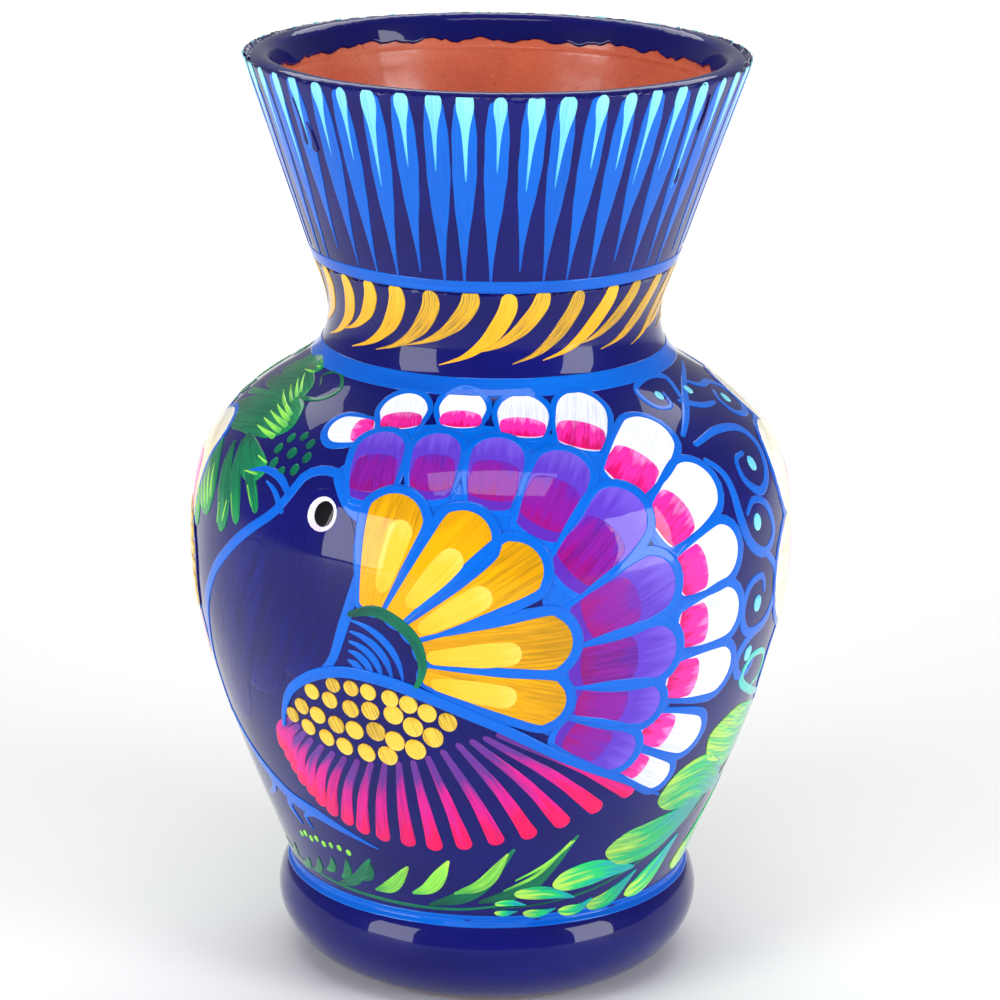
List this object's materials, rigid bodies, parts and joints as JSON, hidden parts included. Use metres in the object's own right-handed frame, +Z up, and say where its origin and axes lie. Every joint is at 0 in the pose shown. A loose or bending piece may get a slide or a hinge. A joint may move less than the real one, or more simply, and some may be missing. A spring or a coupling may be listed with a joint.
{
  "type": "vase",
  "caption": "Round-bellied painted earthenware flower vase with a bulged foot, a waisted neck and a flared collar; it holds cut flowers.",
  "frame": {"origin": "centre of the standing face, on the surface that the vase stands on", "axes": "+Z up along the vase's axis; -Y is the painted front, where the bird faces the viewer's left; +X is to the viewer's right"},
  "size_m": [0.1616, 0.1616, 0.25],
  "materials": {
    "terracotta": "satin",
    "cobalt_paint": "gloss",
    "bright_blue_paint": "gloss"
  },
  "bodies": {
    "root": {"foot_coil": "terracotta", "floor_slab": "terracotta", "lower_belly": "terracotta", "shoulder": "terracotta", "neck": "terracotta", "collar": "terracotta", "lip_coil": "terracotta", "cobalt_coat": "cobalt_paint", "foot_band": "bright_blue_paint", "neck_band": "bright_blue_paint", "collar_band": "bright_blue_paint"}
  },
  "joints": []
}
